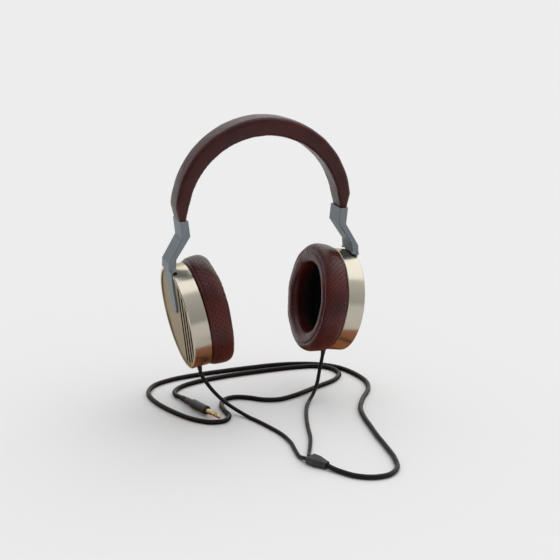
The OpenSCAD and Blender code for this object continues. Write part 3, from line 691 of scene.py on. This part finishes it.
def make_plug_boot():
    """Ribbed sleeve at the cable end of the plug."""
    profile = [(-0.6 * MM, CABLE_R + 0.05 * MM), (-0.6 * MM, 2.15 * MM), (0.0, 2.3 * MM)]
    for k in range(4):
        at = (0.6 + 1.7 * k) * MM
        profile += [(at, 2.35 * MM), (at + 0.9 * MM, 2.45 * MM), (at + 1.05 * MM, 2.2 * MM),
                    (at + 1.5 * MM, 2.2 * MM)]
    profile += [(7.5 * MM, 2.6 * MM), (8.0 * MM, 2.7 * MM)]
    sleeve = turned("plug_sleeve_boot", PLUG_TAIL, PLUG_AXIS, profile, "relief_rubber")
    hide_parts("plug_boot")
    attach(sleeve, "headband")
    return sleeve


def make_cable():
    """The cable from the splitter to the plug."""
    plug_boot = make_plug_boot()
    path = smooth_path(cable_route(), 1.6 * MM, FLOOR_Z + CABLE_R)
    cable = tube("cable", path, CABLE_R, "cord_jacket")
    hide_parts("main_cable")
    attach(cable, "headband")


def make_lead(side):
    """A lead in two pieces, split where it starts to hang: a short top from the boot, and the run
    to the splitter.
    """
    route = lead_route(side)
    path = smooth_path(route, 1.2 * MM, FLOOR_Z + LEAD_R)
    seam = min(range(len(path)), key=lambda i: (path[i] - route[2]).length)
    lead = tube(side + "_lead_run", path[seam:], LEAD_R, "cord_jacket")
    top = tube(side + "_lead_top", path[:seam + 1], LEAD_R, "cord_jacket")
    boot = make_boot(side)
    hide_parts(side + "_lead")
    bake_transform(lead)
    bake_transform(top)


def make_cords():
    splitter = make_splitter()
    make_cable()
    make_lead("right")
    make_lead("left")


# ---- headband ----
def arch_point(t, radius, centre_z, rise, end_x):
    """(x, z) on one arch at t from 0 at the band's end to 0.5 at the crown."""
    start = math.asin(rise / radius)
    if t < STRAIGHT_SHARE:
        share = t / STRAIGHT_SHARE
        arc_end = Vector((radius * math.cos(start), centre_z + rise))
        return Vector((end_x, BAND_END_Z)).lerp(arc_end, share)
    share = (t - STRAIGHT_SHARE) / (0.5 - STRAIGHT_SHARE)
    angle = start + share * (math.pi / 2 - start)
    return Vector((radius * math.cos(angle), centre_z + radius * math.sin(angle)))


def arch_station(t):
    """Outer and inner point of the band at t from 0 at the right end to 1 at the left."""
    mirror = 1 if t <= 0.5 else -1
    points = [arch_point(min(t, 1 - t), *arch) for arch in (OUTER_ARCH, INNER_ARCH)]
    return [Vector((mirror * p.x, 0, p.y)) for p in points]


def rounded_section(half, thick, radius, side_steps=9, face_steps=5, corner_steps=6):
    """Points (y, height) round a rectangle with rounded corners that stands on its inner face."""
    points = []
    corners = [(half - radius, radius, -90), (half - radius, thick - radius, 0),
               (radius - half, thick - radius, 90), (radius - half, radius, 180)]
    for n, (y, h, start) in enumerate(corners):
        for k in range(corner_steps + 1):
            a = math.radians(start + 90 * k / corner_steps)
            points.append((y + radius * math.cos(a), h + radius * math.sin(a)))
        ny, nh, nstart = corners[(n + 1) % 4]
        a = math.radians(nstart)
        goal = (ny + radius * math.cos(a), nh + radius * math.sin(a))
        last = points[-1]
        steps = face_steps if n % 2 == 0 else side_steps
        for k in range(1, steps):
            points.append((last[0] + (goal[0] - last[0]) * k / steps,
                           last[1] + (goal[1] - last[1]) * k / steps))
    return points


def band_ring(t):
    """Section of the leather at t: crowned faces, rolled edges, and gathers inside."""
    outer, inner = arch_station(t)
    up = outer - inner
    thick = up.length
    up.normalize()
    below = max(0.0, TAPER_FROM_Z - (outer + inner).z / 2)
    half = BAND_HALF - below * math.tan(BAND_TAPER)
    radius = min(3.0 * MM, thick * 0.42)
    ring = []
    for y, h in rounded_section(half, thick, radius):
        across, rise = y / half, h / thick
        puff = 0.5 * MM * (1 - across * across) * (1 if rise > 0.5 else -0.6)
        belly = 0.6 * MM * across * 4 * rise * (1 - rise)
        soft = 0.22 * MM * noise.noise(Vector((t * 40, across * 2, rise * 2)) * 0.6)
        gather = 0.0
        if rise < 0.35 and abs(across) > 0.7:
            gather = 0.32 * MM * noise.noise(Vector((t * 170, across, 5)))
        ring.append(inner + up * (h + puff + soft * (rise - 0.5) * 2 + gather)
                    + Vector((0, y + belly + soft * across, 0)))
    return ring


def middle_of(ring):
    return sum(ring, Vector()) / len(ring)


def turned_in(ring, ahead):
    """Rings that roll the leather's end into the band, towards the ring ahead."""
    centre = middle_of(ring)
    inward = (middle_of(ahead) - centre).normalized()
    return [[centre + (p - centre) * share + inward * depth for p in ring]
            for share, depth in ((0.93, -0.25 * MM), (0.83, 0.0), (0.805, 1.2 * MM))]


def make_headband():
    """Leather wrapped padding, mapped in metres along the band."""
    rings = [band_ring(i / BAND_STEPS) for i in range(BAND_STEPS + 1)]
    middles = [middle_of(ring) for ring in rings]
    lengths = [0.0]
    for a, b in zip(middles, middles[1:]):
        lengths.append(lengths[-1] + (b - a).length)
    first, last = turned_in(rings[0], rings[1]), turned_in(rings[-1], rings[-2])
    rings = first[::-1] + rings + last
    lengths = [0.0] * len(first) + lengths + [lengths[-1]] * len(last)
    size = len(rings[0])
    band = loft("headband_leather", rings, "band_leather",
                lambda i, j: (j / size * BAND_GIRTH, lengths[i]))
    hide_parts("headband_cover")
    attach(band, "headband")


def make_mouth(side):
    """Slotted black insert in the end of the band, round the slider strip."""
    sign = SIDES[side]
    down = Vector((sign * math.sin(SLIDER_LEAN), 0, -math.cos(SLIDER_LEAN)))
    flat = Vector((sign * math.cos(SLIDER_LEAN), 0, math.sin(SLIDER_LEAN)))
    top = Vector((sign * MOUTH_X, 0, MOUTH_Z))
    deep = -1.2
    rings = []
    # in mm: half width, half thickness, place along the slider
    for half_y, half_x, at in ((7.2, 1.0, deep), (7.2, 1.0, 0.0), (7.9, 1.75, 0.0),
                               (7.9, 1.75, deep)):
        outline = rounded_section(half_y * MM, 2 * half_x * MM, half_x * 0.6 * MM, 6, 2, 4)
        rings.append([top + at * MM * down + Vector((0, y, 0)) + flat * (h - half_x * MM)
                      for y, h in outline])
    rings.append(rings[0])
    mouth = loft(side + "_slider_mouth", rings, "guide_plastic", caps=False)
    mouth.data.set_sharp_from_angle(angle=math.radians(40))
    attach(mouth, "headband")


# ---- ear pads ----
def pad_profile(steps=3):
    """Section of the pad: (radius, height over its base) once round, crowned in front."""
    thick = PAD_BASE - PAD_FACE
    # in mm: radius, height over the pad's base
    corners = [(31.0, 0.2), (38.0, 0.0), (43.2, -0.6), (45.2, 1.0), (46.3, 4.4), (46.8, 9.0),
               (46.6, 13.0), (45.2, 16.4), (42.8, 18.2), (40.2, 18.8), (37.0, 19.4),
               (33.4, 18.8), (30.6, 16.0), (29.8, 9.0), (30.3, 3.0)]
    points = [Vector((r, h, 0)) * MM for r, h in corners]
    loop = [points[-1], *points, points[0], points[1]]
    outline = []
    for p0, p1, p2, p3 in zip(loop, loop[1:], loop[2:], loop[3:]):
        for k in range(steps):
            t = k / steps
            outline.append(0.5 * (2 * p1 + (p2 - p0) * t + (2 * p0 - 5 * p1 + 4 * p2 - p3) * t ** 2
                                  + (3 * p1 - p0 - 3 * p2 + p3) * t ** 3))
    return [(p.x, min(p.y, thick)) for p in outline]


def make_pad(side):
    """Leather pad, swollen by a cloth simulation and then given its seams and holes."""
    middle, out, up = cup_axes(side)
    front = Vector((0, -1, 0))
    base = middle + PAD_BASE * out

    def place(angle, radius, height):
        return base - height * out + radius * (math.cos(angle) * up + math.sin(angle) * front)

    def polar(point):
        local = point - base
        along, rise = local.dot(front), local.dot(up)
        return math.atan2(along, rise), math.hypot(along, rise), -local.dot(out)

    outline = pad_profile()
    size = len(outline)
    vertices, faces = [], []
    for i in range(PAD_SEGMENTS):
        angle = 2 * math.pi * i / PAD_SEGMENTS
        vertices += [place(angle, r, h) for r, h in outline]
        for j in range(size):
            nxt = (j + 1) % size
            a, b = i * size, (i + 1) % PAD_SEGMENTS * size
            faces.append((a + j, a + nxt, b + nxt, b + j))
    pad = new_object(side + "_pad", vertices, faces, "pad_leather")
    face_outward(pad)
    swell(pad, polar)
    subdivide = pad.modifiers.new("subdivide", "SUBSURF")
    subdivide.levels = subdivide.render_levels = 2
    apply_modifiers(pad)
    shape_pad(pad, polar, PAD_SEEDS[side])
    map_pad(pad, polar)
    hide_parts(side + "_ear_pad")
    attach(pad, side + "_cup")


def near(distance, width):
    """1 at no distance, falling off smoothly over a width."""
    return math.exp(-(distance / width) ** 2)


def swell(pad, polar):
    """Blows the leather up a little between its base and its front seam."""
    start = [v.co.copy() for v in pad.data.vertices]
    pins = pad.vertex_groups.new(name="pins")
    for vertex in pad.data.vertices:
        angle, radius, height = polar(vertex.co)
        hold = 1.0 if height < 0.8 * MM else 0.0
        seam = math.hypot(radius - SEAM_R, height - SEAM_H)
        hold = max(hold, 0.75 if seam < 1.2 * MM else 0.0)
        pins.add([vertex.index], hold, "REPLACE")
    run_cloth(pad)
    for vertex, rest in zip(pad.data.vertices, start):
        moved = vertex.co - rest
        if moved.length > SWELL_LIMIT:
            vertex.co = rest + moved.normalized() * SWELL_LIMIT


def run_cloth(pad):
    """Puts the pad under pressure for some frames, held at its pins, and keeps the result."""
    cloth = pad.modifiers.new("cloth", "CLOTH")
    settings = cloth.settings
    settings.vertex_group_mass = "pins"
    settings.quality = 6
    settings.mass = 0.15
    settings.tension_stiffness = settings.compression_stiffness = 12
    settings.shear_stiffness = 6
    settings.bending_stiffness = 0.4
    settings.use_pressure = True
    settings.uniform_pressure_force = 4
    settings.effector_weights.gravity = 0
    cloth.point_cache.frame_start, cloth.point_cache.frame_end = 1, CLOTH_FRAMES
    for number in range(1, CLOTH_FRAMES + 1):
        bpy.context.scene.frame_set(number)
    apply_modifiers(pad)
    bpy.context.scene.frame_set(1)


def shape_pad(pad, polar, seed):
    """Front seam, tucked base, wrinkles and the soft lumps of worn foam."""
    def waves(ring, depth, turns, shift):
        return depth * MM * noise.noise(ring * turns + Vector((0, 0, seed + shift)))

    mesh = pad.data
    normals = [v.normal.copy() for v in mesh.vertices]
    for vertex, normal in zip(mesh.vertices, normals):
        angle, radius, height = polar(vertex.co)
        ring = Vector((math.cos(angle), math.sin(angle), 0))
        over_base = height - SEAM_BASE_H
        groove = 0.22 * MM * near(math.hypot(radius - SEAM_R, height - SEAM_H), 1.1 * MM)
        tuck = 0.5 * MM * near(over_base, 0.6 * MM) if radius > PAD_OUTSIDE_R else 0.0
        lumps = waves(ring, 0.8, 2.2, height * 70)
        wrinkles = waves(ring, 0.13, 16, radius * 90) * near(height - SEAM_H, 3.5 * MM)
        gathers = waves(ring, 0.14, 26, height * 200) * near(over_base, 2.5 * MM)
        lip = waves(ring, 1.3, 1.9, 40) * near(radius - LIP_R, 2.5 * MM)
        outside = 1.0 if radius > PAD_INSIDE_R else 0.35
        vertex.co += normal * (lip - groove - tuck + (lumps + wrinkles + gathers) * outside)


def map_pad(pad, polar):
    """Map and mask for the rows of holes on the side wall, and the mask of painted shade on the
    inner wall, darker deeper in.
    """
    mesh = pad.data
    layer = mesh.uv_layers.get("map") or mesh.uv_layers.new(name="map")
    places = [polar(v.co) for v in mesh.vertices]
    for polygon in mesh.polygons:
        first = places[mesh.loops[polygon.loop_start].vertex_index][0]
        for index in polygon.loop_indices:
            angle, radius, height = places[mesh.loops[index].vertex_index]
            turn = angle - first
            turn -= 2 * math.pi * round(turn / (2 * math.pi))
            along = height + 0.6 * max(0.0, PAD_WALL_R - radius)
            layer.data[index].uv = ((first + turn) / (2 * math.pi) * HOLES_ROUND,
                                    along / HOLE_ROW)
    holes = mesh.attributes.new("holes", "FLOAT", "POINT")
    cavity_shade = mesh.attributes.new("cavity_shade", "FLOAT", "POINT")
    for index, (angle, radius, height) in enumerate(places):
        on_wall = radius > SEAM_R + 1.2 * MM and height > 1.8 * MM
        holes.data[index].value = 1.0 if on_wall else 0.0
        # painted shade mask: full near the pad's base, fading out up the inner wall
        depth = min(1.0, max(0.0, (15 * MM - height) / (11 * MM)))
        cavity_shade.data[index].value = depth if radius < LIP_R + 2.0 * MM else 0.0
    for polygon in mesh.polygons:
        polygon.use_smooth = True


# ---- stage ----
def flat_sheet(name, half_x, half_y, height, color):
    """A flat coloured sheet of the stage, centred under the object."""
    mesh = bpy.data.meshes.new(name)
    corners = [(-half_x, -half_y), (half_x, -half_y), (half_x, half_y), (-half_x, half_y)]
    mesh.from_pydata([(x, y, height) for x, y in corners], [], [(0, 1, 2, 3)])
    s = Surface(name + "_paper", color, 0.9)
    s.bump((s.noise(s.place(), scale=400, detail=3), 0.05 * MM))
    s.set("Specular IOR Level", 0.0)
    mesh.materials.append(s.material)
    sheet = bpy.data.objects.new(name, mesh)
    bpy.context.scene.collection.objects.link(sheet)
    return sheet


def make_stage():
    """Pale floor, and a brown card that only shows as a reflection, mostly in the metal."""
    flat_sheet("floor", FLOOR_HALF, FLOOR_HALF, FLOOR_Z - 0.05 * MM, FLOOR_GREY)
    card = flat_sheet("warm_card", *CARD_HALF, FLOOR_Z - 0.02 * MM, CARD_BROWN)
    card.visible_camera = card.visible_diffuse = card.visible_shadow = False
    card.visible_transmission = False


def make_sun(location, aim, energy, angle):
    """A sun whose angle says how soft its shadows are."""
    data = bpy.data.lights.new("sun", "SUN")
    data.energy = energy
    data.angle = angle
    light = bpy.data.objects.new("sun", data)
    light.location = location
    light.rotation_euler = (Vector(aim) - Vector(location)).to_track_quat("-Z", "Y").to_euler()
    bpy.context.scene.collection.objects.link(light)


def make_lights():
    """A soft bright room, lightest up and to the back right, with one wide sun from there.

    Past the floor's edge, where the camera sees the room itself, it is plain and as pale.
    """
    world = bpy.data.worlds.new("studio")
    bpy.context.scene.world = world
    world.use_nodes = True
    nodes, links = world.node_tree.nodes, world.node_tree.links
    lean = nodes.new("ShaderNodeVectorMath")
    lean.operation = "DOT_PRODUCT"
    lean.inputs[1].default_value = ROOM_LEAN
    links.new(nodes.new("ShaderNodeTexCoord").outputs["Generated"], lean.inputs[0])
    level = nodes.new("ShaderNodeMath")
    level.operation = "ADD"
    level.inputs[1].default_value = ROOM_LEVEL
    links.new(lean.outputs["Value"], level.inputs[0])
    plain = nodes.new("ShaderNodeMix")
    plain.inputs["B"].default_value = BACKDROP
    links.new(nodes.new("ShaderNodeLightPath").outputs["Is Camera Ray"], plain.inputs["Factor"])
    links.new(level.outputs[0], plain.inputs["A"])
    links.new(plain.outputs["Result"], nodes["Background"].inputs[0])
    make_sun(location=(0.9, 0.7, 2.0), aim=(0, 0, -0.1), energy=1.3, angle=math.radians(90))
    bpy.context.scene.view_settings.view_transform = "Standard"


def dress_nodes():
    """Gives each CAD node its material; the cradles are brighter than their slot's plate."""
    for name, node in NODES.items():
        side = name.split("_")[0] if name.split("_")[0] in SIDES else ""
        look = "cradle_metal" if name.endswith("pivot_cradle") else SLOT_OF[name]
        material = finish_of(look, side)
        node.data.materials.clear()
        node.data.materials.append(material)


# ---- making ----
make_camera()
make_cords()
make_headband()
for side in SIDES:
    make_mouth(side)
    make_pad(side)
dress_nodes()
make_stage()
make_lights()
